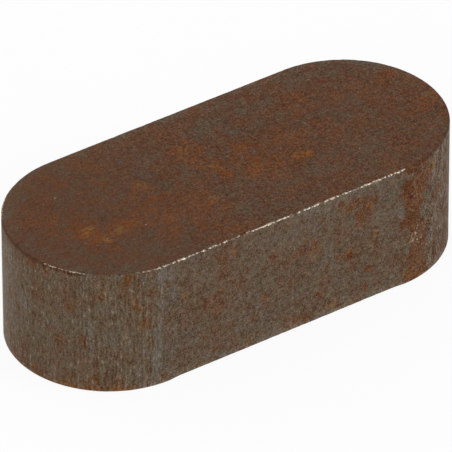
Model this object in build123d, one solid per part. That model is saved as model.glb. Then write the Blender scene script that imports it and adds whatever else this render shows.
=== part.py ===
"""A parallel key with two round ends: one solid piece of drawn steel bar.

The key lies flat. X runs along its length, Y across its width and Z up its height.
The origin is on the underside, in the middle of the key. Sizes are in millimetres.
"""

import os

from build123d import *

# Driving dimensions
KEY_LENGTH = 28.0  # overall, over both round ends
KEY_WIDTH = 12.0  # across the two driving flanks; each end is half this in radius
KEY_HEIGHT = 8.0  # from the underside to the top face
EDGE_BREAK = 0.1  # leg of the 45 degree break along every top and bottom edge

PARTS_FOLDER = "parts"


def bar_section():
    """The drawn bar's cross-section, standing across X, with its four long edges broken."""
    rectangle = Plane.YZ * Rectangle(KEY_WIDTH, KEY_HEIGHT, align=(Align.CENTER, Align.MIN))
    return chamfer(rectangle.vertices(), EDGE_BREAK)


def bar():
    """A length of the bar, cut off square at the key's overall length."""
    return extrude(bar_section(), KEY_LENGTH / 2, both=True)


def end_milled_envelope():
    """What the end mill leaves: the key's plan, with a half circle on each end.

    Its upper and lower rims are broken as the bar's long edges are, so that the break
    runs all the way round the key at one size.
    """
    envelope = extrude(SlotOverall(KEY_LENGTH, KEY_WIDTH), KEY_HEIGHT)
    rims = envelope.faces().filter_by(Axis.Z).edges()
    return chamfer(rims, EDGE_BREAK)


def parallel_key():
    """The bar with both ends milled round."""
    return bar() & end_milled_envelope()


def main():
    os.makedirs(PARTS_FOLDER, exist_ok=True)
    key = parallel_key()
    key.label = "parallel_key"
    export_step(key, os.path.join(PARTS_FOLDER, "parallel_key.step"))


main()
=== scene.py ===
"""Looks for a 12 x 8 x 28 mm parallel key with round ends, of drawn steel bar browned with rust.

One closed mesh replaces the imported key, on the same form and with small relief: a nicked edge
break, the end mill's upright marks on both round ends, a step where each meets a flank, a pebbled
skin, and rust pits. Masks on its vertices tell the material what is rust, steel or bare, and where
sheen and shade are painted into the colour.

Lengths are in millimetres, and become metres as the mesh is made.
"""

import math

import bpy
import numpy as np
from mathutils import Matrix, Vector, noise


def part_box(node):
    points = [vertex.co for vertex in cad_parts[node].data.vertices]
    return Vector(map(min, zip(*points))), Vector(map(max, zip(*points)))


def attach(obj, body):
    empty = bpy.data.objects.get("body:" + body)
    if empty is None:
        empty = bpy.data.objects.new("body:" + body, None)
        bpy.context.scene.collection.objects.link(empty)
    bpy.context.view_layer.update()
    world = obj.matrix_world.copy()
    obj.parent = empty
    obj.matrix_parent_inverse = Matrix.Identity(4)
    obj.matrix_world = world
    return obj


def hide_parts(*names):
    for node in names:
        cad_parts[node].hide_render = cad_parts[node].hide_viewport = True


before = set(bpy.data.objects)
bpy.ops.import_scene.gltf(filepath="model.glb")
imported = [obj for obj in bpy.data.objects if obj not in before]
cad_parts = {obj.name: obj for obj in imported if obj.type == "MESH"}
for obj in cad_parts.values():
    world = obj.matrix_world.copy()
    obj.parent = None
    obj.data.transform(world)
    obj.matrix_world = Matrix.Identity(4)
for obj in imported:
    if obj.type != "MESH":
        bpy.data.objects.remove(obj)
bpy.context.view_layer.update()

MM = 0.001
NODE = "parallel_key"
SEED = 12828

# The form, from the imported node's own box
node_low, node_high = (np.array(corner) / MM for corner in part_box(NODE))
LENGTH, WIDTH, HEIGHT = node_high - node_low
RADIUS = WIDTH / 2
STRAIGHT = LENGTH - WIDTH
END_ARC = math.pi * RADIUS
PERIMETER = 2 * (STRAIGHT + END_ARC)

# The edge break's leg, the least and most that it can be, and what the lower one has more along
# the flanks. Its profile is between a straight break and a quarter round.
EDGE_BREAK = 0.1
LEAST_BREAK, MOST_BREAK = 0.055, 0.17
LOWER_EXTRA = 0.07
STRAIGHT_SHARE, ROUND_SHARE = 0.6, 0.4
BREAK_WAVES = ((0.9, 0.16), (3.5, 0.14))  # how it wavers: a noise's scale, and its strength
NICKS = 46
NICK_HALF, NICK_DEPTH = (0.08, 0.28), (0.01, 0.055)

# How finely the mesh is cut
FLAT_COLUMNS = 192
END_COLUMNS = 384
SIDE_ROWS = 42
HOLD = 0.02  # a ring this far from the edge break keeps the faces beside it flat
BREAK_STEPS = (0.0, 0.25, 0.5, 0.75, 1.0)

# A cap's rings: the first one's radius, the step to the next, how far inside the side they end,
# and where one more ring has all the columns. On a round end their points lie up to POINT_GAP
# apart, with one column kept in 64, 32 and so on down to 2.
CAP_START, CAP_STEP = 0.15, 0.157
CAP_END, FULL_RING = 0.2, 0.21
POINT_GAP = 0.105
COARSE_STEP, FINE_STEP = 64, 2

# The flat map of the faces: its side, the gap between its parts, and how much of the way round
# the key is laid in the tall strip
MAP_NAME = "OFBake"
MAP_SIDE, MAP_GAP, TALL_STRIP = 40.0, 0.4, 39.0

# The camera, measured from the middle of the key's box
AZIMUTH, ELEVATION, ROLL = -34.592, 35.436, -0.163
LENS, SENSOR, DISTANCE = 725.5, 36.0, 512.4
AIM_RIGHT, AIM_UP = -0.069, -0.141
CLIP_START, CLIP_END = 10, 20000

# The studio: even light, a wide white floor, and softboxes with their direction from the key,
# distance, width, height and brightness
WORLD_LIGHT = 0.6
FLOOR_HALF = 3000
FLOOR_PAPER = (0.96, 0.96, 0.96)
FLOOR_SHINE = 0.9
WHITE = (1.0, 1.0, 1.0)
SOFTBOXES = (
    ("key_light", (0.55, -0.72, 0.38), 500, 270, 270, 4.3),
    ("fill_light", (-0.82, -0.36, 0.38), 500, 380, 380, 1.85),
    ("back_light", (-0.35, 0.9, 0.2), 600, 600, 200, 3.4),
)


def srgb(red, green, blue):
    """A screen's colour, from 0 to 255, as the linear numbers that a shader takes."""
    channels = [c / 255 for c in (red, green, blue)]
    return tuple(c / 12.92 if c <= 0.04045 else ((c + 0.055) / 1.055) ** 2.4 for c in channels)


def new_object(name, data):
    """A new object in the scene, made of this mesh, lamp or camera."""
    made = bpy.data.objects.new(name, data)
    bpy.context.scene.collection.objects.link(made)
    return made


def smooth(value, low, high):
    """0 below low, 1 above high, and an S curve between them."""
    t = np.clip((value - low) / (high - low), 0.0, 1.0)
    return t * t * (3 - 2 * t)


def perlin(points, scale, octaves=1, shift=0.0):
    """Soft noise of about -1 to 1 at each point. shift makes it another noise."""
    found = np.zeros(len(points))
    strength, total = 1.0, 0.0
    for octave in range(octaves):
        at = points * scale * 2.0**octave + shift + 17.3 * octave
        found += strength * np.array([noise.noise(Vector(p)) for p in at])
        total += strength
        strength *= 0.5
    return found / total * 1.8


# ---- The key's surface ----


class Outline:
    """The columns round the key, anticlockwise seen from above, from the front flank's left end.

    A point is its column's centre plus its normal times a radius. The centre runs along the
    key's middle line on the flanks and stands still on the round ends.
    """

    def __init__(self):
        half = STRAIGHT / 2
        flat = np.arange(FLAT_COLUMNS) / FLAT_COLUMNS
        turn = np.arange(END_COLUMNS) / END_COLUMNS
        run = STRAIGHT * flat
        self.centre = np.concatenate([-half + run, 0 * turn + half, half - run, 0 * turn - half])
        angle = math.pi * np.concatenate([0 * flat - 0.5, turn - 0.5, 0 * flat + 0.5, turn + 0.5])
        self.normal = np.stack([np.cos(angle), np.sin(angle)], 1)
        lengths = [STRAIGHT, END_ARC, STRAIGHT, END_ARC]
        starts = np.cumsum([0.0, *lengths[:-1]])
        shares = [flat, turn, flat, turn]
        self.along = np.concatenate([a + b * c for a, b, c in zip(starts, lengths, shares)])
        self.is_end = np.repeat([False, True] * 2, [FLAT_COLUMNS, END_COLUMNS] * 2)

    def picked(self, flat_step, end_step):
        """The numbers of the columns left when only one in so many is kept."""
        kept, start = [], 0
        for count, step in ((FLAT_COLUMNS, flat_step), (END_COLUMNS, end_step)) * 2:
            kept.append(np.arange(start, start + count, step))
            start += count
        return np.concatenate(kept)


class Surface:
    """All the mesh's points, with where on the key each lies, and its faces.

    break_share is 0 at the cap's side of an edge break and 1 at the flank's. cap is 1 on top and
    -1 beneath, and edge is 1 on an edge break.
    """

    def __init__(self, outline):
        self.outline = outline
        self.parts = {k: [] for k in ("column", "radius", "z", "break_share", "cap", "edge")}
        self.count = 0
        self.rings = []  # (first point, column numbers)
        self.lines = []  # (first point, centres along the key) of each cap's middle line
        self.faces = []

    def add_points(self, size, columns, radius, z, break_share=0.0, cap=0.0, edge=0.0):
        """Adds so many points, and gives the first one's number."""
        for name, value in zip(self.parts, (columns, radius, z, break_share, cap, edge)):
            self.parts[name].append(np.broadcast_to(value, size).astype(float))
        self.count += size
        return self.count - size

    def add_ring(self, columns, *where, **marks):
        """Adds a ring of points, one on each of these columns."""
        first = self.add_points(len(columns), columns, *where, **marks)
        self.rings.append((first, columns))

    def add_face(self, corners, flip):
        """Adds a face, turned over on the rings that run the other way."""
        self.faces.append(corners[::-1] if flip else corners)

    def join(self, inner, outer, flip):
        """Faces between two rings. The outer has the inner's columns, or those and one between."""
        (a, few), (b, many) = inner, outer
        place = {c: i for i, c in enumerate(many)}
        for i, column in enumerate(few):
            after = few[(i + 1) % len(few)]
            j, k = place[column], place[after]
            p, q = a + i, a + (i + 1) % len(few)
            r, t = b + j, b + k
            if (k - j) % len(many) == 1:
                self.add_face((p, r, t, q), flip)
            else:
                s = b + (j + 1) % len(many)
                for corners in ((p, r, s), (p, s, q), (q, s, t)):
                    self.add_face(corners, flip)


def cap_rings(outline):
    """(column numbers, radius) of each ring on a cap, from its middle outwards."""
    rings = []
    radius = CAP_START
    while radius < RADIUS - CAP_END:
        end_step = COARSE_STEP
        arc = END_ARC / RADIUS * radius
        while end_step > FINE_STEP and arc / (END_COLUMNS / end_step) > POINT_GAP:
            end_step //= 2
        rings.append((outline.picked(FINE_STEP, end_step), radius))
        radius += CAP_STEP
    return rings


def build_surface(outline, break_top, break_under):
    """Rings from the middle of the top, over the edge and down the side, to the underside's."""
    surface = Surface(outline)
    full = outline.picked(1, 1)

    def add_cap(z, cap, leg):
        """The rings on the top, or beneath, where they start at the rim."""
        rings = cap_rings(outline)
        rings.append((full, RADIUS - FULL_RING))
        rings.append((full, RADIUS - leg - HOLD))
        for columns, radius in rings if cap > 0 else rings[::-1]:
            surface.add_ring(columns, radius, z, cap=cap)

    def add_break(leg, top):
        """The rings over an edge break."""
        for share in BREAK_STEPS if top else BREAK_STEPS[::-1]:
            turn = share * math.pi / 2
            inset = leg * (STRAIGHT_SHARE * (1 - share) + ROUND_SHARE * (1 - math.sin(turn)))
            drop = leg * (STRAIGHT_SHARE * share + ROUND_SHARE * (1 - math.cos(turn)))
            z = HEIGHT - drop if top else drop
            surface.add_ring(full, RADIUS - inset, z, share, edge=1.0)

    add_cap(HEIGHT, 1.0, break_top)
    add_break(break_top, True)
    upper, lower = HEIGHT - break_top - HOLD, break_under + HOLD
    for row in range(SIDE_ROWS + 1):
        share = row / SIDE_ROWS
        surface.add_ring(full, RADIUS, upper + (lower - upper) * share, 1.0)
    add_break(break_under, False)
    add_cap(0.0, -1.0, break_under)

    for inner, outer in zip(surface.rings, surface.rings[1:]):
        if len(inner[1]) <= len(outer[1]):
            surface.join(inner, outer, False)
        else:
            surface.join(outer, inner, True)
    close_cap(surface, surface.rings[0], HEIGHT, 1.0)
    close_cap(surface, surface.rings[-1], 0.0, -1.0)
    return surface


def close_cap(surface, ring, z, cap):
    """Fills the middle of a cap with a line of points that both its flanks' columns share."""
    start, columns = ring
    centre = surface.outline.centre
    centres = [centre[column] for column in columns if column < FLAT_COLUMNS] + [STRAIGHT / 2]
    line_first = surface.add_points(len(centres), columns[0], 0.0, z, cap=cap)
    surface.lines.append((line_first, centres))

    def on_line(place):
        """The line's point under the ring's point at this place."""
        offset = centre[columns[place % len(columns)]] + STRAIGHT / 2
        return line_first + int(round(offset / STRAIGHT * (len(centres) - 1)))

    for i in range(len(columns)):
        p, q = start + i, start + (i + 1) % len(columns)
        a, b = on_line(i), on_line(i + 1)
        surface.add_face((a, p, q) if a == b else (a, p, q, b), cap < 0)


class Points:
    """Every point of the mesh: its place before any relief, the way out of the steel, and more.

    along is the distance round the key. side goes over the edge breaks from 0 on the caps to 1.
    """

    def __init__(self, surface):
        outline = surface.outline
        parts = {name: np.concatenate(runs) for name, runs in surface.parts.items()}
        column = parts["column"].astype(int)
        centre, normal = outline.centre[column], outline.normal[column]
        self.radius, self.z, self.edge = parts["radius"], parts["z"], parts["edge"]
        self.break_share = parts["break_share"]
        self.x = centre + normal[:, 0] * self.radius
        self.y = normal[:, 1] * self.radius
        for first, centres in surface.lines:
            self.x[first : first + len(centres)] = centres
            self.y[first : first + len(centres)] = 0.0
        self.place = np.column_stack([self.x, self.y, self.z])
        self.along = outline.along[column]
        self.is_end = outline.is_end[column]

        self.capped = parts["cap"] != 0
        self.upper = self.z > HEIGHT / 2
        self.top = (parts["cap"] > 0) | (self.upper & (self.break_share < 0.5))
        self.side = ~self.capped * self.break_share
        upward = np.where(self.upper, 1.0, -1.0)
        tilt = self.break_share * math.pi / 2
        self.outward = np.column_stack([normal * np.sin(tilt)[:, None], upward * np.cos(tilt)])


# ---- Relief and masks ----

# Rust and steel patches: where along, where up or across, its two radii, strength.
# On the top the first two are X and Y. On the side they are the way round the key from the
# front flank's left end, and Z; the left end has negative numbers. First the top's rustier,
# ochre and greyer patches.
TOP_BLOOMS = (
    (-10.2, -0.7, 0.9, 0.9, 0.9), (-9.9, -1.9, 0.7, 0.6, 1.0), (-8.1, -1.5, 1.0, 0.7, 1.0),
    (-6.9, -0.5, 0.8, 0.6, 0.5), (-5.1, 1.2, 0.8, 0.6, 0.6), (-5.2, -0.6, 1.5, 0.8, 0.4),
    (-2.9, -2.6, 0.7, 0.9, 0.5), (-4.2, -4.2, 0.6, 0.9, 0.4), (-2.9, -5.2, 0.6, 0.8, 0.45),
    (-1.0, 2.5, 0.9, 0.9, 0.95), (-0.9, 1.2, 0.75, 1.1, 0.85), (-0.8, -0.3, 0.6, 0.8, 1.0),
    (1.8, 0.8, 0.6, 1.0, 0.6), (1.6, -1.1, 1.4, 1.1, 0.75), (4.0, -1.5, 0.8, 0.7, 0.9),
    (4.4, 0.2, 0.5, 0.8, 0.4), (6.6, 2.4, 1.2, 0.8, 0.4), (8.0, 3.6, 1.2, 0.6, 0.35),
    (12.4, 1.9, 0.6, 0.6, 0.45), (13.0, -1.2, 0.9, 0.8, 0.75), (13.2, -2.6, 0.5, 0.9, 0.6),
    (9.6, -3.1, 0.6, 0.6, 0.35), (-7.0, 2.6, 0.8, 0.5, 0.3), (-12.0, 1.3, 0.6, 0.5, 0.35),
    (-4.0, -1.5, 3.5, 2.0, 0.15), (1.5, -0.5, 3.0, 2.0, 0.2), (-7.3, 1.8, 1.2, 0.8, 0.35),
    (-2.5, 1.3, 0.9, 0.8, 0.4), (-9.7, -3.0, 0.3, 0.3, 0.7),
)
TOP_OCHRE = (
    (-9.9, -0.9, 0.5, 0.35, 1.0), (-9.35, -2.05, 0.25, 0.2, 1.0), (-8.4, -1.6, 0.4, 0.3, 0.6),
    (4.0, -1.5, 0.5, 0.3, 0.8), (-0.9, 0.1, 0.35, 0.4, 0.6), (-1.1, 2.7, 0.4, 0.35, 0.6),
    (-5.0, 1.2, 0.4, 0.3, 0.5), (8.9, 1.6, 0.3, 0.2, 0.5), (-2.6, -2.3, 0.6, 0.35, 0.35),
    (0.7, -1.9, 0.5, 0.3, 0.3), (13.2, -0.8, 0.4, 0.4, 0.5),
)
TOP_STEEL = (
    (-1.5, -2.0, 0.5, 0.8, 0.7), (1.3, 4.2, 0.8, 0.9, 0.35), (2.2, 2.8, 0.4, 0.5, 0.5),
    (0.0, 5.5, 1.0, 0.6, 0.6), (8.1, 0.1, 0.8, 0.5, 0.9), (7.4, 1.0, 0.7, 0.4, 0.7),
    (10.5, 4.7, 1.5, 0.7, 0.6), (3.9, -2.6, 0.4, 0.35, 0.6), (6.2, -3.8, 0.4, 0.3, 0.4),
    (-13.0, 1.8, 0.6, 2.0, 0.6), (-12.6, -3.0, 0.7, 1.2, 0.8), (-11.5, 4.0, 1.0, 0.8, 0.6),
    (6.4, -4.2, 1.0, 0.6, 0.6), (-1.3, -4.0, 0.6, 0.9, 0.3), (0.3, -3.1, 0.9, 0.6, 0.2),
    (-8.3, 0.4, 0.6, 0.5, 0.5), (-5.5, -4.5, 1.4, 0.5, 0.4), (12.4, 3.2, 0.6, 0.6, 0.5),
    (-9.0, -2.7, 0.5, 0.35, 0.7), (-7.0, -2.9, 0.6, 0.4, 0.6),
)
# The side's rustier patches, its small rust spots, and its ochre ones
SIDE_BLOOMS = (
    (13.4, 6.7, 0.75, 0.55, 0.9), (11.9, 3.8, 0.65, 0.4, 0.8), (9.5, 5.3, 0.5, 0.6, 0.5),
    (4.0, 4.9, 0.6, 0.5, 0.2), (5.0, 0.5, 1.4, 0.3, 0.45), (9.2, 0.45, 1.2, 0.25, 0.45),
    (-1.9, 5.5, 0.35, 0.8, 0.25), (-1.2, 1.2, 0.35, 0.8, 0.25), (-8.6, 0.3, 1.0, 0.3, 0.5),
    (-4.4, 0.15, 1.3, 0.2, 0.6), (-0.5, 0.5, 0.25, 0.3, 0.7), (20.2, 4.0, 0.6, 3.5, 0.45),
)
SIDE_SPOTS = (
    (3.5, 6.95, 0.4, 0.3, 0.6), (4.4, 6.9, 0.2, 0.2, 0.5), (3.3, 6.0, 0.2, 0.2, 0.4),
    (5.1, 5.25, 0.3, 0.2, 0.6), (4.0, 3.6, 0.2, 0.2, 0.4), (6.25, 3.1, 0.3, 0.4, 0.9),
    (5.6, 1.9, 0.3, 0.3, 0.9), (4.25, 2.2, 0.25, 0.35, 0.6), (8.0, 3.5, 0.6, 0.4, 0.35),
    (10.45, 6.85, 0.25, 0.25, 0.7), (8.95, 6.95, 0.35, 0.3, 0.5), (7.9, 7.35, 0.4, 0.3, 0.5),
    (7.2, 7.45, 0.2, 0.2, 0.5), (11.7, 7.1, 0.4, 0.3, 0.9), (12.0, 6.7, 0.3, 0.3, 0.7),
    (12.75, 6.3, 0.3, 0.9, 0.7), (10.05, 1.75, 0.3, 0.25, 0.7), (11.0, 0.65, 0.5, 0.25, 0.5),
    (8.3, 0.9, 0.3, 0.25, 0.5), (6.25, 0.65, 0.35, 0.3, 0.7), (3.05, 0.95, 0.35, 0.2, 0.5),
    (1.8, 0.5, 0.3, 0.2, 0.5), (13.5, 2.15, 0.3, 0.3, 1.1), (13.3, 0.85, 0.3, 0.3, 0.6),
    (14.1, 1.05, 0.25, 0.25, 0.5), (14.0, 4.35, 0.25, 0.3, 0.6), (14.0, 3.7, 0.25, 0.35, 0.5),
    (14.9, 3.1, 0.2, 0.2, 0.6), (14.5, 5.95, 0.3, 0.3, 0.6), (13.95, 6.8, 0.25, 0.3, 0.6),
    (18.6, 4.95, 0.25, 0.5, 0.6), (19.0, 5.25, 0.3, 0.25, 0.5), (18.65, 1.7, 0.3, 0.3, 0.7),
    (19.7, 6.2, 0.35, 0.35, 0.5), (-2.45, 7.65, 0.55, 0.45, 1.5), (-2.05, 6.0, 0.25, 0.2, 0.6),
    (-1.65, 4.4, 0.4, 0.35, 0.6), (-0.85, 6.2, 0.2, 0.25, 0.7), (-1.15, 3.4, 0.2, 0.3, 0.6),
    (-3.95, 6.65, 0.3, 0.45, 0.35), (-5.7, 5.6, 0.4, 0.5, 0.15), (-4.95, 3.5, 0.12, 0.5, 0.6),
    (-2.95, 0.85, 0.4, 0.3, 0.8), (-4.3, 0.85, 0.25, 0.3, 0.6), (-6.4, 2.9, 0.3, 0.7, 0.3),
    (-8.3, 7.7, 0.4, 0.25, 0.6), (-4.5, 0.1, 2.7, 0.3, 1.2),
)
SIDE_OCHRE = (
    (1.0, 5.45, 0.25, 0.25, 0.8), (4.4, 6.9, 0.2, 0.2, 0.5), (8.0, 7.35, 0.3, 0.2, 0.5),
    (11.0, 0.65, 0.35, 0.2, 0.25), (3.05, 0.95, 0.3, 0.15, 0.5), (-1.65, 4.4, 0.3, 0.25, 0.25),
    (-2.05, 6.0, 0.2, 0.2, 0.3), (-5.7, 5.6, 0.3, 0.4, 0.15), (14.0, 4.35, 0.2, 0.25, 0.4),
    (18.3, 7.1, 0.15, 0.4, 0.8), (13.6, 6.6, 0.3, 0.2, 0.6), (12.1, 3.9, 0.25, 0.2, 0.6),
)
# Where the bright strip that the end mill left shows clearly, and where the side is greyer: pale
# steel, except the tall patches at the far left and far right along the outline, which are painted
# sheen, and the small one at 19.5, which is a painted highlight
WITNESS_CLEAR = (
    (-0.5, 7.3, 1.0, 0.8, 1.0), (-0.6, 5.4, 1.0, 0.7, 0.5), (-0.7, 3.6, 1.0, 0.8, 1.1),
    (-0.8, 1.7, 1.0, 0.9, 1.35),
)
SIDE_STEEL_AND_SHEEN = (
    (-0.1, 7.3, 0.45, 0.5, 0.6), (0.25, 5.85, 0.25, 0.3, 0.5), (-4.6, 3.6, 0.12, 1.7, 1.0),
    (-1.63, 2.9, 0.14, 0.5, 1.0), (-9.0, 4.6, 0.7, 0.7, 0.4), (-11.2, 4.4, 1.3, 3.6, 0.4),
    (-7.15, 2.9, 0.25, 0.5, 0.4), (15.6, 5.2, 0.45, 0.35, 0.5), (14.2, 5.45, 0.6, 0.3, 0.35),
    (19.5, 4.3, 0.5, 0.25, 0.6), (21.0, 4.8, 1.0, 4.0, 0.3),
)
# The rust streak just past the front flank's right end, its dark fringe on the left, and where
# it has flaked lower down
STREAK = (
    (17.1, 7.6, 1.05, 0.9, 1.2), (17.45, 7.75, 0.65, 0.65, 1.1), (17.2, 6.7, 0.85, 0.8, 1.15),
    (16.2, 6.3, 0.4, 0.9, 0.9), (17.2, 6.1, 0.6, 0.6, 0.9), (16.85, 5.7, 0.65, 0.8, 1.1),
    (16.85, 4.9, 0.55, 0.7, 1.0), (16.45, 4.3, 0.45, 0.65, 0.65), (16.7, 3.75, 0.55, 0.6, 0.8),
    (17.15, 3.1, 0.4, 0.6, 0.65), (16.45, 3.1, 0.4, 0.6, 0.5), (17.0, 1.8, 0.75, 0.75, 1.1),
    (16.8, 0.6, 0.8, 0.7, 1.1),
)
STREAK_DARK = ((16.15, 6.0, 0.3, 0.9, 0.6), (16.2, 4.4, 0.4, 0.6, 0.55), (16.6, 3.9, 0.6, 0.8, 0.35))
STREAK_FLAKED = ((16.85, 3.0, 0.45, 0.75, 1.0), (17.65, 2.1, 0.2, 0.25, 0.7))

# Stretches of the way round the key: start, end, strength. The edge breaks are uneven and nicked
# along NICKED, and nearly even elsewhere.
NICKED = ((-4.5, 16.5, 1.0),)
# The top edge where it is rubbed bare, where only a thin line of it is, and where it is left
# dark; and the lower edge where it is rubbed
BARE_TOP = (
    (-7.6, -4.7, 1.25), (-2.1, -1.0, 0.8), (-1.2, 4.3, 1.0), (4.1, 5.2, 0.7), (5.1, 8.2, 1.1),
    (8.0, 9.1, 0.55), (9.0, 16.3, 0.85), (36.5, 41.0, 0.7), (43.2, 49.5, 0.9),
    (55.0, 57.5, 0.7), (24.5, 27.0, 0.5),
)
THIN_BARE = ((-9.0, -4.4, 1.0),)
DARK_TOP = ((-12.3, -7.5, 1.0), (16.3, 24.0, 0.8), (27.5, 34.0, 0.7), (50.0, 54.5, 0.6))
BARE_UNDER = ((2.0, 6.5, 0.5), (10.0, 13.0, 0.4), (38.0, 46.0, 0.6), (22.0, 24.0, 0.5))
# The side just below the top edge where it is worn grey, and where a dark line of painted shade
# runs; and the far left, which is a little darker all the way down
WORN_TOP = ((8.0, 15.6, 1.0), (18.4, 21.0, 0.4), (37.0, 42.0, 0.7))
SHADE_LINE = ((-12.3, -4.9, 1.0), (16.0, 18.4, 0.4))
FAR_LEFT = ((-12.0, -7.4, 1.0),)
# The foot of the side where it is lighter, and where it is gritty
LIGHT_FOOT = ((-1.4, 16.2, 1.0), (38.0, 48.0, 1.0))
GRITTY_FOOT = ((3.5, 11.5, 1.0),)

# A patch fades in from PATCH_RIM of its radii, over PATCH_FADE of them, and a stretch from just
# outside its ends to just inside
PATCH_RIM, PATCH_FADE = 1.5, 1.2
STRETCH_FADE = (-0.1, 0.35)

# How far and how closely the patches are warped. The small spots are warped by less.
WARP, WARP_SCALE, WARP_SHIFTS = 0.35, 1.3, (1.0, 23.0, 47.0)
SPOT_WARP = 0.35

# The side that the front view doesn't show: from here, and to this far short of all the way round
HIDDEN_START, HIDDEN_END = 25.5, 9.6

# The mill's marks: their noise's scale across and upwards, and how far apart it is at the ends
MARKS_ACROSS, MARKS_UP, MARKS_APART = 5.2, 0.35, 40
# How far into a round end the milled look sets in, and how much of it the streak hides
MILLED_FROM = (0.25, 0.6)
STREAK_HIDES = 0.75
# The bright strip that the mill left: where it sets in and ends, how much further in its foot is
# on the front's left, and how much it wavers
STRIP_IN, STRIP_OUT = (0.16, 0.4), (0.5, 0.9)
STRIP_LEAN, STRIP_SWAY = 0.45, 0.14

# Depths of the relief: the drawn skin and its ups and downs, the milled skin and its, and pits
SKIN_DEPTH, PEBBLES, SWELLS = 0.003, 0.0032, 0.0015
MILLED_DEPTH, MILL_MARKS, MILLED_PEBBLES = 0.006, 0.0032, 0.0015
PITS = 520
PIT_DEPTH, PIT_RADIUS = (0.006, 0.02), (0.1, 0.26)
FULL_PIT = 0.014  # a pit this deep is as dark as a pit gets
EDGE_FLATTENED = 0.8  # the share of the relief that the rubbing took off the edge break

# How quickly the wear below the top edge, the painted sheen on top towards its back rim, and the
# lighter foot of the side die away
WEAR_BELOW, SHEEN_BEHIND, FOOT_REACH = 0.45, 0.5, 0.28

# The contrast of the grain, from dark to light, on each face, and what the foot adds to it
SIDE_CONTRAST, END_CONTRAST, CAP_CONTRAST, STREAK_CONTRAST = 0.94, 1.0, 0.58, 1.12
FOOT_CONTRAST = 0.5


def round_key(value):
    """A distance round the key brought to between minus half and half of the way round."""
    return (value + PERIMETER / 2) % PERIMETER - PERIMETER / 2


def patches(first, second, table):
    """The strongest patch at each point: its strength at its middle, fading to 0 at its rim."""
    best = np.zeros(len(first))
    for along, up, radius_along, radius_up, strength in table:
        away = np.hypot(round_key(first - along) / radius_along, (second - up) / radius_up)
        best = np.maximum(best, strength * smooth(PATCH_RIM - away, 0.0, PATCH_FADE))
    return best


def stretches(along, table):
    """How strongly each place round the key lies in one of the table's stretches."""
    best = np.zeros(len(along))
    for start, end, strength in table:
        middle, half = (start + end) / 2, (end - start) / 2
        inside = half - np.abs(round_key(along - middle))
        best = np.maximum(best, strength * smooth(inside, *STRETCH_FADE))
    return best


def edge_break(outline, rng, shift, extra=0.0):
    """The edge break's leg at each column: uneven and nicked, and wider on the flanks by extra,
    which also makes it evener and its nicks shallower.
    """
    x, y = (RADIUS * outline.normal).T
    ring = np.column_stack([outline.centre + x, y, 0 * x + shift])
    rough = 0.35 + 0.65 * stretches(outline.along, NICKED) - 5 * extra
    waves = sum(strength * perlin(ring, scale) for scale, strength in BREAK_WAVES)
    leg = EDGE_BREAK * (0.9 + rough * waves)
    from_end = STRAIGHT / 2 - np.abs(outline.centre)
    leg += extra * smooth(from_end, -0.1, 0.8) * ~outline.is_end
    for _ in range(NICKS):
        middle = rng.uniform(0, PERIMETER)
        half, depth = rng.uniform(*NICK_HALF), rng.uniform(*NICK_DEPTH)
        depth *= 1 - 10 * extra
        away = np.abs(round_key(outline.along - middle)) / half
        leg += depth * (1 - smooth(away, 0.0, 1.0)) * rough
    return np.clip(leg, LEAST_BREAK, MOST_BREAK + extra)


def end_marks(points):
    """How far into a round end each point is, and the mill's marks there, from -1 to 1."""
    x, y, z = points.place.T
    arc = np.arctan2(y, np.abs(x) - STRAIGHT / 2) * RADIUS
    from_tangent = END_ARC / 2 - np.abs(arc)
    sway = perlin(np.column_stack([0 * x, z, 0 * x]), 0.5, shift=3.1)
    inside = np.where(points.is_end, from_tangent, -1.0) + 0.05 * sway
    lines = np.column_stack(
        [(arc + 0.02 * sway) * MARKS_ACROSS, z * MARKS_UP, MARKS_APART * np.sign(x)]
    )
    return inside, perlin(lines, 1.0, shift=11.0)


def mill_masks(points):
    """Where the skin is milled, and where the mill left a bright strip: (milled, strip, marks)."""
    along, z, side = points.along, points.z, points.side
    inside, marks = end_marks(points)
    milled = smooth(inside, *MILLED_FROM) * side
    front_left = (along > PERIMETER - 3.0) | (along < 1.0)
    lean = STRIP_LEAN * (1 - z / HEIGHT) * front_left
    swerve = inside - lean + STRIP_SWAY * perlin(points.place, 0.7, 2, shift=13.0)
    strip = smooth(swerve, *STRIP_IN) * (1 - smooth(swerve, *STRIP_OUT)) * side
    broken = smooth(perlin(points.place, 1.6, 2, shift=29.0), -0.35, 0.35)
    clear = patches(along, z, WITNESS_CLEAR)
    strip = strip * np.where(front_left, 0.3 + 0.7 * clear, 0.1 + 0.25 * broken)
    return milled, strip, marks


def warped_places(points):
    """Where each point looks up the patches, moved about so that their rims are uneven: X and Y
    for the top, along and Z for the side, and those two moved by less.
    """
    noises = [perlin(points.place, WARP_SCALE, 2, shift) for shift in WARP_SHIFTS]
    warp_x, warp_y, warp_z = (points.place + WARP * np.column_stack(noises)).T
    along = points.along + (warp_x - points.x) * (points.side > 0)
    near_along = points.along + SPOT_WARP * (along - points.along)
    near_z = points.z + SPOT_WARP * (warp_z - points.z)
    return (warp_x, warp_y), (along, warp_z), (near_along, near_z)


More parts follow.
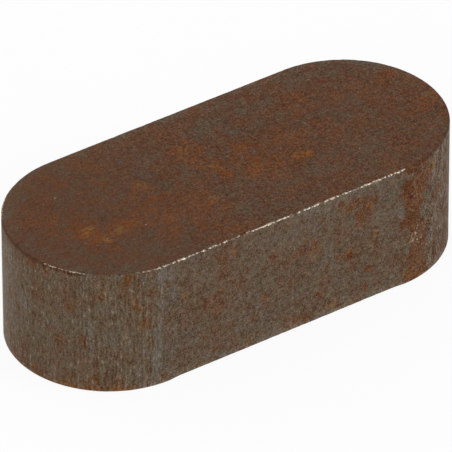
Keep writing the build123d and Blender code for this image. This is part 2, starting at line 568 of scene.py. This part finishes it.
def rust_masks(points, on_top, on_side, near):
    """Where the skin is rustier, ochre and greyer: (bloom, ochre, steel). The faces that the
    front view doesn't show get patches of the same kinds by chance.
    """
    top, side = points.top, points.side
    bloom = np.where(top, patches(*on_top, TOP_BLOOMS), patches(*on_side, SIDE_BLOOMS) * side)
    bloom = np.maximum(bloom, patches(*near, SIDE_SPOTS) * side)
    ochre = np.where(top, patches(*on_top, TOP_OCHRE), patches(*near, SIDE_OCHRE) * side)
    steel = np.where(top, patches(*on_top, TOP_STEEL), 0.0)

    behind = (points.along > HIDDEN_START) & (points.along < PERIMETER - HIDDEN_END)
    hidden = (~top & points.capped) | ((side > 0) & behind)
    clouds = perlin(points.place, 0.45, 3, shift=71.0)
    bloom = np.where(hidden, np.maximum(bloom, 0.8 * smooth(clouds, 0.35, 0.75)), bloom)
    steel = np.where(hidden, 0.9 * smooth(-clouds, 0.3, 0.7), steel)
    return bloom, ochre, steel


def edge_masks(points):
    """Where the edge breaks are rubbed bare, mostly along their crest, and where they are dark."""
    along, upper = points.along, points.upper
    bare = np.where(upper, stretches(along, BARE_TOP), stretches(along, BARE_UNDER))
    thin = stretches(along, THIN_BARE)
    crest = 1 - np.abs(points.break_share - 0.5 + 0.15 * thin) * (1.3 + 1.3 * thin)
    bare_edge = bare * points.edge * np.clip(crest, 0, 1)
    dark_edge = points.edge * np.where(upper, stretches(along, DARK_TOP), 0.15)
    return bare_edge, dark_edge


def wear_masks(points, on_side, foot):
    """Beside the edges: where the skin is worn grey, where the top is lighter and greyer towards its
    back rim, which is painted sheen, and where the side's foot is lighter; and where it is darker: a
    line of painted shade below the top edge, the streak's dark fringe, and the far left.
    """
    along, side = points.along, points.side
    below, rim = HEIGHT - points.z, RADIUS - points.radius
    wear_sheen_and_foot = side * stretches(along, WORN_TOP) * np.exp(-below / WEAR_BELOW)
    # Painted sheen: the top turns lighter and greyer towards its back rim
    behind = smooth(points.y, -1.0, 3.0) * np.exp(-rim / SHEEN_BEHIND)
    wear_sheen_and_foot += 0.8 * np.where(points.top & points.capped, behind, 0.0)
    wear_sheen_and_foot += 0.7 * foot * stretches(along, LIGHT_FOOT)

    # Painted shade: a dark line just below the top edge
    shade_line_and_dark_patches = side * stretches(along, SHADE_LINE) * (1 - smooth(below, 0.12, 0.25))
    fringe = patches(*on_side, STREAK_DARK)
    dark_fringe_and_far_left = np.maximum(fringe, 0.2 * stretches(along, FAR_LEFT))
    return wear_sheen_and_foot, np.maximum(shade_line_and_dark_patches, side * dark_fringe_and_far_left)


def grain_contrast(points, milled, streak, foot):
    """How far the grain goes from dark to light: livelier on the ends near the flank. On the right
    end the extra is partly painted shading and glints that stand for light on the mill marks'
    ridges.
    """
    along, x = points.along, points.x
    left_end = SIDE_CONTRAST + 0.14 * smooth(along - PERIMETER, -6.0, -4.5)
    # Partly painted shading and glints: the right end's grain is much livelier near the front flank
    right_end = END_CONTRAST + 1.05 * (1 - smooth(along, 20.5, 23.5))
    end = np.where(x > 0, right_end, left_end)
    side = SIDE_CONTRAST + milled * (end - SIDE_CONTRAST)
    cap = CAP_CONTRAST + 0.42 * smooth(x, -9.0, -1.0)
    contrast = np.where(points.capped, cap, side)
    return contrast * (1 - streak) + STREAK_CONTRAST * streak + FOOT_CONTRAST * foot


def pits(points, rng, weight):
    """Depth of shallow round pits at each point. weight says where they like to be."""
    place = points.place
    depth = np.zeros(len(place))
    chance = np.cumsum(weight)
    for _ in range(PITS):
        middle = place[np.searchsorted(chance, rng.uniform(0, chance[-1]))]
        radius = rng.uniform(*PIT_RADIUS)
        near = np.flatnonzero((np.abs(place - middle) < radius).all(1))
        away = np.linalg.norm(place[near] - middle, axis=1) / radius
        hole = rng.uniform(*PIT_DEPTH) * (1 - smooth(away, 0.15, 1.0))
        depth[near] = np.maximum(depth[near], hole)
    return depth


def relief_depth(points, milled, marks, pit):
    """How deep each point goes in: a pebbled skin, or a milled one with its marks, and pits."""
    pebble = perlin(points.place, 1.9, 2, shift=9.0)
    swell = perlin(points.place, 0.35, 2, shift=33.0)
    drawn = SKIN_DEPTH + PEBBLES * pebble + SWELLS * swell
    cut = MILLED_DEPTH + MILL_MARKS * marks + MILLED_PEBBLES * pebble
    depth = drawn * (1 - milled) + milled * cut
    return np.clip(depth + pit, 0.0, None) * (1 - EDGE_FLATTENED * points.edge)


def shape_relief(points, rng):
    """Masks for the material, and the depth that each point goes in by."""
    along, z, side = points.along, points.z, points.side
    on_top, on_side, near = warped_places(points)
    bloom, ochre, steel = rust_masks(points, on_top, on_side, near)
    bare_edge, dark_edge = edge_masks(points)

    milled, strip, marks = mill_masks(points)
    streak = np.minimum(1, patches(*on_side, STREAK)) * side
    # Greyer patches on the side, among them painted sheen and a painted highlight near the outline
    pale_and_sheen = patches(along, near[1], SIDE_STEEL_AND_SHEEN) * side
    milled = milled * (1 - STREAK_HIDES * streak)

    foot = side * np.exp(-z / FOOT_REACH)
    wear_sheen_and_foot, shade_line_and_dark_patches = wear_masks(points, on_side, foot)
    flaked = patches(along, z, STREAK_FLAKED) * side

    weight = (0.25 + bloom * 3 + streak * 2) * (points.edge < 0.5)
    pit = pits(points, rng, weight)
    masks = {
        "milled": milled,
        "witness_and_sheen": np.maximum(strip, pale_and_sheen) * (1 - streak),
        "bloom": bloom,
        "ochre": ochre,
        "steel": steel,
        "streak": streak,
        "bare_edge": bare_edge,
        "dark_edge": dark_edge,
        "pit": np.clip(pit / FULL_PIT, 0, 1),
        "capped": np.where(points.capped, 1.0, 1.0 - np.minimum(1, points.break_share * 2)),
        "contrast": grain_contrast(points, milled, streak, foot),
        "wear_sheen_and_foot": wear_sheen_and_foot,
        "shade_line_and_dark_patches": shade_line_and_dark_patches,
        "foot": foot,
        "flaked": np.maximum(flaked, 0.6 * foot * stretches(along, GRITTY_FOOT)),
    }
    return masks, relief_depth(points, milled, marks, pit)


def map_faces(mesh, points):
    """Lays the faces out flat: the two caps, and the side as one tall strip and one wide."""
    corner, totals = np.zeros(len(mesh.loops), int), np.zeros(len(mesh.polygons), int)
    mesh.loops.foreach_get("vertex_index", corner)
    mesh.polygons.foreach_get("loop_total", totals)
    starts = np.concatenate([[0], np.cumsum(totals)[:-1]])

    def of_face(values, chosen):
        """Each face's least or greatest value, at all of its corners."""
        return np.repeat(chosen.reduceat(values, starts), totals)

    x, y, z = points.place[corner].T
    above, along = points.upper[corner], points.along[corner]
    seam = of_face(along, np.maximum) - of_face(along, np.minimum) > PERIMETER / 2
    along = np.where(seam & (along < PERIMETER / 2), along + PERIMETER, along)
    inset = RADIUS - points.radius[corner]
    down = HEIGHT - z + np.where(above, -inset, inset)
    flat = points.break_share[corner] == 0
    on_cap = of_face(flat.astype(float), np.minimum) > 0.5
    on_wide = of_face(along, np.minimum) > TALL_STRIP

    u = LENGTH / 2 + x
    v = np.where(above, RADIUS + y, WIDTH + MAP_GAP + RADIUS - y)
    tall_u, wide_v = LENGTH + 3 * MAP_GAP + down, 2 * (WIDTH + MAP_GAP) + MAP_GAP + down
    u = np.where(on_cap, u, np.where(on_wide, along - TALL_STRIP, tall_u))
    v = np.where(on_cap, v, np.where(on_wide, wide_v, along))
    places = (np.column_stack([u, v]) + MAP_GAP) / MAP_SIDE
    layer = mesh.uv_layers.new(name=MAP_NAME)
    layer.data.foreach_set("uv", places.ravel())


def make_key():
    """The key as one closed mesh, with its masks and one flat map, and the masks' names."""
    rng = np.random.default_rng(SEED)
    outline = Outline()
    break_top = edge_break(outline, rng, 0.0)
    break_under = edge_break(outline, rng, 50.0, LOWER_EXTRA)
    surface = build_surface(outline, break_top, break_under)
    points = Points(surface)
    masks, depth = shape_relief(points, rng)
    relieved = points.place - points.outward * depth[:, None]

    mesh = bpy.data.meshes.new("rusted_parallel_key")
    mesh.from_pydata((relieved * MM).tolist(), [], surface.faces)
    mesh.shade_smooth()
    for name, values in masks.items():
        mask = mesh.attributes.new(name, "FLOAT", "POINT")
        mask.data.foreach_set("value", values.astype(np.float32))
    map_faces(mesh, points)
    mesh.update()
    return new_object("rusted_parallel_key", mesh), list(masks)


# ---- Materials ----


class Shader:
    """A short way to write down the nodes of a material, or of the world."""

    def __init__(self, owner):
        owner.use_nodes = True
        self.tree = owner.node_tree
        self.tree.nodes.clear()

    def add(self, kind, settings=(), **values):
        """A node of this kind, with these settings, and with numbers or links in its sockets.
        They go by name, with _ for a space, or by i and their number.
        """
        made = self.tree.nodes.new("ShaderNode" + kind)
        for name, value in dict(settings).items():
            setattr(made, name, value)
        for name, value in values.items():
            socket = made.inputs[int(name[1:]) if name[1:].isdigit() else name.replace("_", " ")]
            self.put(socket, value)
        return made

    def put(self, socket, value):
        """Links a socket's value or sets it."""
        if isinstance(value, bpy.types.NodeSocket):
            self.tree.links.new(value, socket)
        elif isinstance(value, tuple) and len(value) == 3 and socket.type == "RGBA":
            socket.default_value = (*value, 1.0)
        else:
            socket.default_value = value

    def finish(self, kind, surface):
        """Ends in an output node of this kind."""
        self.put(self.add(kind).inputs["Surface"], surface.outputs[0])

    def seen(self):
        """1 where the camera sees it, straight or in a reflection, and 0 where it only lights."""
        path = self.add("LightPath").outputs
        seen = self.math("ADD", path["Is Camera Ray"], path["Is Glossy Ray"])
        return self.math("ADD", seen, path["Is Transmission Ray"], clamp=True)

    def math(self, operation, first, second=0.0, third=0.0, clamp=False):
        """The number that this operation makes of up to three others."""
        settings = {"operation": operation, "use_clamp": clamp}
        return self.add("Math", settings, i0=first, i1=second, i2=third).outputs[0]

    def times(self, first, second):
        """One number times another."""
        return self.math("MULTIPLY", first, second)

    def scaled(self, vector, scale):
        """A vector or a colour times a number."""
        settings = {"operation": "SCALE"}
        return self.add("VectorMath", settings, i0=vector, Scale=scale).outputs[0]

    def noise(self, vector, shift, scale, detail, roughness):
        """Noise around 0.5. shift makes it another noise."""
        settings = {"operation": "ADD"}
        moved = self.add("VectorMath", settings, i0=vector, i1=(shift, shift, shift))
        grain = {"Scale": scale, "Detail": detail, "Roughness": roughness}
        return self.add("TexNoise", Vector=moved.outputs[0], **grain).outputs["Fac"]

    def range(self, value, low, high, to_low=0.0, to_high=1.0):
        """The value's range from low to high, spread smoothly over another."""
        settings = {"interpolation_type": "SMOOTHSTEP"}
        ends = {"From_Min": low, "From_Max": high, "To_Min": to_low, "To_Max": to_high}
        return self.add("MapRange", settings, Value=value, **ends).outputs["Result"]

    def mix(self, factor, first, second, blend="MIX", clamp=True):
        """One colour over another. Not clamped, it also goes past either of them."""
        settings = {"data_type": "RGBA", "blend_type": blend, "clamp_factor": clamp}
        made = self.add("Mix", settings, Factor=factor, i6=first, i7=second)
        return made.outputs[2]

    def blend(self, factor, first, second):
        """One number over another."""
        settings = {"data_type": "FLOAT", "clamp_factor": True}
        made = self.add("Mix", settings, Factor=factor, i2=first, i3=second)
        return made.outputs[0]

    def ramp(self, value, places, colours):
        """The colours at these places from 0 to 1, and what lies between them."""
        made = self.add("ValToRGB", Fac=value)
        elements = made.color_ramp.elements
        while len(elements) < len(places):
            elements.new(0.5)
        for element, place, colour in zip(elements, places, colours):
            element.position = place
            element.color = (*colour, 1.0)
        return made.outputs["Color"]


# The skin's colour goes by rustiness, from clean steel at 0 to orange rust at 1. Each has a middle
# and a light tone, and the grain runs from darker than the first to lighter than the second.
SKIN_TONES = (
    (0.0, srgb(85, 73, 63), srgb(105, 94, 85)),
    (0.25, srgb(86, 69, 52), srgb(106, 90, 73)),
    (0.5, srgb(87, 56, 35), srgb(107, 76, 55)),
    (0.75, srgb(93, 54, 26), srgb(113, 73, 44)),
    (1.0, srgb(104, 58, 19), srgb(123, 76, 35)),
)
OLIVE_TINT = (0.97, 1.045, 0.93)
MAUVE_TINT = (1.03, 0.955, 1.06)
TAWNY_TINT = (1.0, 1.08, 1.0)
RUST_OCHRE = srgb(134, 92, 38)
RUST_DARK = srgb(58, 36, 22)
BARE_METAL = srgb(158, 147, 133)
SPECK_AND_GLINT = srgb(160, 141, 121)

# The noises in the skin: how far each is moved, its scale per millimetre, detail and roughness
NOISES = {
    "grain": (0.0, 11.0, 1.0, 0.7),
    "speckle": (0.0, 4.6, 2.0, 0.6),
    "mottle": (0.0, 1.5, 2.0, 0.55),
    "shade": (71.0, 0.55, 1.0, 0.5),
    "clouds": (0.0, 0.33, 2.0, 0.5),
    "drifts": (31.0, 1.1, 1.0, 0.5),
    "flecks": (57.0, 2.7, 1.0, 0.6),
    "hues": (19.0, 3.6, 1.0, 0.6),
    "specks": (43.0, 6.5, 1.0, 0.5),
    "dashes": (83.0, 6.0, 1.0, 0.6),
}
# The mill's marks on the round ends, drawn out upwards: what z is multiplied by, then as above
MARK_NOISES = {"long_marks": (0.08, 0.0, 4.8, 1.0, 0.6), "short_marks": (0.3, 0.0, 7.5, 1.0, 0.6)}
ENDS_APART = 50.0

# The grain's tone, 0 for the middle tone and 1 for the light one: its mean, and how much of each
# noise it takes. The left end is calmer round its tip and near the top. Masks add to the tone.
DRAWN_TONE = (0.05, {"grain": 5.2, "speckle": 3.8, "mottle": 0.8, "shade": 0.5})
LEFT_TONE = (0.14, {"grain": 3.5, "short_marks": 2.9, "long_marks": 1.75, "mottle": 0.3})
CALM_TONE = (0.1, {"grain": 4.2, "short_marks": 2.2, "long_marks": 1.1, "mottle": 0.5})
RIGHT_TONE = (0.0, {"grain": 3.7, "short_marks": 1.9, "long_marks": 0.8, "mottle": 1.2})
CALM_ARC, CALM_HEIGHT = (5.2, 3.2), (5.0, 7.5, 0.0, 0.7)
TONE_MASKS = {"pit": -0.5, "wear_sheen_and_foot": 0.6, "witness_and_sheen": 0.5, "shade_line_and_dark_patches": -0.9, "foot": 0.7}
DARKEST, LIGHT_LIFT = -2.2, 0.14

# The rustiness, in the same way, and what the masks add to it, some of them in flecks
SIDE_RUST = (0.26, {"clouds": 0.45, "drifts": 0.42, "flecks": 0.33})
END_RUST = (0.26, {"clouds": 0.4, "drifts": 0.45, "flecks": 0.32, "long_marks": -0.3})
STREAK_RUST = (0.6, {"clouds": 0.8, "drifts": 1.1, "flecks": 0.5, "speckle": -0.3, "grain": -0.2})
CAP_RUST = (0.51, {"clouds": 0.5, "drifts": 0.55, "flecks": 0.43})
FINE_RUST = (0.0, {"speckle": -0.14, "mottle": -0.25})
FLECKED_RUST = {"bloom": 0.5, "steel": -0.24, "wear_sheen_and_foot": -0.3}
EVEN_RUST = {"witness_and_sheen": -0.3, "shade_line_and_dark_patches": 0.2, "flaked": -0.2}
STREAK_RAGGED = (0.0, {"speckle": 0.7, "flecks": 0.5})

# Ranges that a value is spread over: its low and high, and what those become if not 0 and 1
STREAK_RANGE = (0.15, 0.75)
FLECKS_RANGE = (0.25, 0.65)
CAP_DIM, STREAK_DIM = (0.15, 0.75, 0.83, 1.0), (0.5, 0.95, 0.97, 0.78)
SIDE_HUES, CAP_HUES = (0.3, 0.7), (0.36, 0.64)
TAWNY_RANGE = (0.35, 0.7)
OCHRE_RANGE = (0.36, 0.6)
RUBBED_RANGE, RUBBED_LIMIT = (0.4, 1.1), (0.03, 0.25)
STEELY_RANGE = (0.45, 0.1)
ROUGH_RANGE = (0.3, 0.7, 0.72, 0.86)

# Both milled ends' tint moves towards olive, and the right one's by this much back to mauve
ENDS_OLIVE, RIGHT_MAUVE = -0.13, 0.18
# Pale specks, which are a noise's peaks: painted glints, a few anywhere and more in the streak; and
# by a table of the noise, the range that its peaks set in over, the mask that they lie in, and their
# strength. Those where the skin has flaked are pale flakes, and those along the mill marks are
# painted glints
GLINT_PEAKS, GLINTS_ANYWHERE, GLINTS_IN_STREAK = (0.7, 0.78), 0.15, 0.6
SPECKS = (
    ("specks", (0.78, 0.82), "capped", 0.6),
    ("specks", (0.57, 0.65), "flaked", 0.9),
    ("short_marks", (0.64, 0.78), "milled", 0.35),
)
OCHRE_STRENGTH, DARK_STRENGTH = 0.7, 0.6
RUBBED_DASHES = (0.0, {"dashes": 3.0, "grain": 1.2})
STEELY_ROUGH, RUBBED_ROUGH, STEELY_METAL = 0.64, 0.36, 0.25
SPECULAR = 0.2
BUMP_DEPTH, GRAIN_BUMP = 0.004, 0.5


class Skin(Shader):
    """The nodes of the key's skin, with its noises and masks by name."""

    def __init__(self, material, mask_names):
        super().__init__(material)
        self.masks = {}
        for name in mask_names:
            read = self.add("Attribute", {"attribute_name": name})
            self.masks[name] = read.outputs["Fac"]
        mm = self.scaled(self.add("TexCoord").outputs["Object"], 1 / MM)
        self.noises = {name: self.noise(mm, *numbers) for name, numbers in NOISES.items()}

        # arc is the distance round each end from its tip
        x, y, self.z = self.add("SeparateXYZ", Vector=mm).outputs
        beyond = self.math("SUBTRACT", self.math("ABSOLUTE", x), STRAIGHT / 2)
        self.arc = self.times(self.math("ARCTAN2", y, beyond), RADIUS)
        self.on_right = self.math("GREATER_THAN", x, 0.0)
        end_side = self.times(self.math("SIGN", x), ENDS_APART)
        for name, (upward, *numbers) in MARK_NOISES.items():
            up = self.times(self.z, upward)
            place = self.add("CombineXYZ", X=self.arc, Y=up, Z=end_side)
            self.noises[name] = self.noise(place.outputs[0], *numbers)

        ragged = self.math("ADD", self.masks["streak"], self.weighted(STREAK_RAGGED))
        self.streak = self.range(ragged, *STREAK_RANGE)

    def weighted(self, recipe):
        """Noises around 0.5, each stretched by its own amount, added round a middle value."""
        total, amounts = recipe
        for name, amount in amounts.items():
            part = self.math("MULTIPLY_ADD", self.noises[name], amount, -amount / 2)
            total = self.math("ADD", part, total)
        return total

    def masked(self, total, amounts, within=1.0):
        """A number, and what each of these masks adds to it within another mask."""
        for name, amount in amounts.items():
            share = self.times(self.masks[name], within)
            total = self.math("MULTIPLY_ADD", share, amount, total)
        return total


def grain_tone(s):
    """The fine grain, from dark to light."""
    calm = s.range(s.math("ABSOLUTE", s.arc), *CALM_ARC)
    calm = s.math("MAXIMUM", calm, s.range(s.z, *CALM_HEIGHT))
    left = s.blend(calm, s.weighted(LEFT_TONE), s.weighted(CALM_TONE))
    milled = s.blend(s.on_right, left, s.weighted(RIGHT_TONE))
    tone = s.blend(s.masks["milled"], s.weighted(DRAWN_TONE), milled)
    tone = s.masked(s.times(tone, s.masks["contrast"]), TONE_MASKS)
    # Light grains stand out more than dark ones, and none is darker than the skin can be
    tone = s.math("MAXIMUM", tone, DARKEST)
    return s.times(tone, s.math("MULTIPLY_ADD", tone, LIGHT_LIFT, 1.0))


def rustiness(s):
    """How rusty each place is, from 0 for clean steel to 1 for orange rust."""
    side = s.blend(s.masks["milled"], s.weighted(SIDE_RUST), s.weighted(END_RUST))
    side = s.blend(s.streak, side, s.weighted(STREAK_RUST))
    rust = s.blend(s.masks["capped"], side, s.weighted(CAP_RUST))
    rust = s.math("ADD", rust, s.weighted(FINE_RUST))
    rust = s.masked(rust, FLECKED_RUST, s.range(s.noises["flecks"], *FLECKS_RANGE))
    return s.masked(rust, EVEN_RUST)


def skin_colour(s, tone, rust):
    """The skin by its grain and rustiness, with some olive, mauve and tawny in it."""
    capped, hues = s.masks["capped"], s.noises["hues"]
    places, middles, lights = zip(*SKIN_TONES)
    middle, light = s.ramp(rust, places, middles), s.ramp(rust, places, lights)
    colour = s.mix(tone, middle, light, clamp=False)
    # On the flat faces the less rusty patches are the darker ones
    dim = s.blend(capped, 1.0, s.range(rust, *CAP_DIM))
    colour = s.scaled(colour, s.blend(s.streak, dim, s.range(rust, *STREAK_DIM)))
    tint = s.blend(capped, s.range(hues, *SIDE_HUES), s.range(hues, *CAP_HUES))
    moved = s.math("MULTIPLY_ADD", s.on_right, RIGHT_MAUVE, ENDS_OLIVE)
    tint = s.math("MULTIPLY_ADD", s.masks["milled"], moved, tint)
    colour = s.mix(1.0, colour, s.mix(tint, OLIVE_TINT, MAUVE_TINT), "MULTIPLY")
    tawny = s.times(s.range(rust, *TAWNY_RANGE), s.math("SUBTRACT", 1.0, capped))
    return s.mix(tawny, colour, s.mix(1.0, colour, TAWNY_TINT, "MULTIPLY"))


def add_spots(s, colour):
    """The colour with its pale specks and flakes, painted glints, ochre spots and dark edge lines.
    """
    # Painted glints: pale dots at a noise's peaks, a few anywhere and more in the streak
    strength = s.blend(s.streak, GLINTS_ANYWHERE, GLINTS_IN_STREAK)
    shares = [s.times(s.range(s.noises["specks"], *GLINT_PEAKS), strength)]
    for name, peaks, mask, strength in SPECKS:
        share = s.times(s.masks[mask], strength)
        shares.append(s.times(s.range(s.noises[name], *peaks), share))
    for share in shares:
        colour = s.mix(share, colour, SPECK_AND_GLINT)
    ochre = s.times(s.masks["ochre"], s.range(s.noises["speckle"], *OCHRE_RANGE))
    colour = s.mix(s.times(ochre, OCHRE_STRENGTH), colour, RUST_OCHRE)
    return s.mix(s.times(s.masks["dark_edge"], DARK_STRENGTH), colour, RUST_DARK)


def key_steel(mask_names):
    """Brown rust over drawn steel, with bare metal on the rubbed edge."""
    material = bpy.data.materials.new("rusted_key_steel")
    s = Skin(material, mask_names)
    rust = rustiness(s)
    colour = add_spots(s, skin_colour(s, grain_tone(s), rust))
    bare = s.masks["bare_edge"]
    rubbed = s.range(s.math("ADD", bare, s.weighted(RUBBED_DASHES)), *RUBBED_RANGE)
    rubbed = s.times(rubbed, s.range(bare, *RUBBED_LIMIT))

    speckle, grain, marks = (s.noises[name] for name in ("speckle", "grain", "short_marks"))
    steely = s.range(rust, *STEELY_RANGE)
    rough = s.blend(steely, s.range(speckle, *ROUGH_RANGE), STEELY_ROUGH)
    pebbled = s.math("ADD", speckle, s.times(grain, GRAIN_BUMP))
    relief = s.blend(s.masks["milled"], pebbled, marks)
    bump = s.add("Bump", Strength=1.0, Distance=BUMP_DEPTH * MM, Height=relief)
    surface = s.add(
        "BsdfPrincipled",
        Base_Color=s.mix(rubbed, colour, BARE_METAL),
        Roughness=s.blend(rubbed, rough, RUBBED_ROUGH),
        Metallic=s.blend(rubbed, s.times(steely, STEELY_METAL), 1.0),
        Normal=bump.outputs["Normal"],
        Specular_IOR_Level=SPECULAR,
    )
    s.finish("OutputMaterial", surface)
    return material


def floor_paper():
    """White paper, lit by the lamps, that also shines by itself where it is seen."""
    material = bpy.data.materials.new("white_floor")
    s = Shader(material)
    paper = s.add("BsdfDiffuse", Color=FLOOR_PAPER).outputs[0]
    white = s.add("Emission", Color=WHITE, Strength=1.0).outputs[0]
    share = s.times(s.seen(), FLOOR_SHINE)
    shown = s.add("MixShader", Fac=share, i1=paper, i2=white)
    s.finish("OutputMaterial", shown)
    return material


# ---- Floor, lights and camera ----


def add_floor():
    """A wide white floor under the key, which isn't part of it."""
    half = FLOOR_HALF * MM
    mesh = bpy.data.meshes.new("floor")
    corners = [(-half, -half, 0), (half, -half, 0), (half, half, 0), (-half, half, 0)]
    mesh.from_pydata(corners, [], [(0, 1, 2, 3)])
    mesh.materials.append(floor_paper())
    floor = new_object("floor", mesh)


def add_world():
    """Even light from all round, and plain white where it is seen."""
    world = bpy.data.worlds.new("studio")
    bpy.context.scene.world = world
    s = Shader(world)
    light = s.add("Background", Color=WHITE, Strength=WORLD_LIGHT).outputs[0]
    white = s.add("Background", Color=WHITE, Strength=1.0).outputs[0]
    shown = s.add("MixShader", Fac=s.seen(), i1=light, i2=white)
    s.finish("OutputWorld", shown)


def add_softbox(name, direction, distance, width, height, radiance):
    """A soft lamp in this direction from the key, facing it. radiance is its own brightness."""
    lamp = bpy.data.lights.new(name, "AREA")
    lamp.shape = "RECTANGLE"
    lamp.size, lamp.size_y = width * MM, height * MM
    lamp.energy = radiance * math.pi * lamp.size * lamp.size_y
    softbox = new_object(name, lamp)
    toward = Vector(direction).normalized()
    softbox.location = toward * distance * MM
    softbox.rotation_mode = "QUATERNION"
    softbox.rotation_quaternion = toward.to_track_quat("Z", "Y")
    softbox.visible_camera = False


def add_camera():
    """A long lens at the chosen angle, a little off the middle of the key's box."""
    azimuth, elevation, roll = (math.radians(a) for a in (AZIMUTH, ELEVATION, ROLL))
    level = math.cos(elevation)
    back = Vector((math.sin(azimuth) * level, -math.cos(azimuth) * level, math.sin(elevation)))
    right = Matrix.Rotation(roll, 3, back) @ Vector((math.cos(azimuth), math.sin(azimuth), 0.0))
    up = back.cross(right)
    middle = Vector((node_low + node_high) / 2)
    data = bpy.data.cameras.new("camera")
    data.lens, data.sensor_width = LENS, SENSOR
    data.clip_start, data.clip_end = CLIP_START * MM, CLIP_END * MM
    camera = new_object("camera", data)
    camera.location = (middle + right * AIM_RIGHT + up * AIM_UP + back * DISTANCE) * MM
    camera.rotation_mode = "QUATERNION"
    camera.rotation_quaternion = Matrix((right, up, back)).transposed().to_quaternion()
    bpy.context.scene.camera = camera


def main():
    """The camera, floor and lights, then the key."""
    add_camera()
    add_floor()
    add_world()
    for softbox in SOFTBOXES:
        add_softbox(*softbox)
    bpy.context.scene.view_settings.view_transform = "Standard"

    key, mask_names = make_key()
    key.data.materials.append(key_steel(mask_names))
    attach(key, "root")
    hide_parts(NODE)


main()
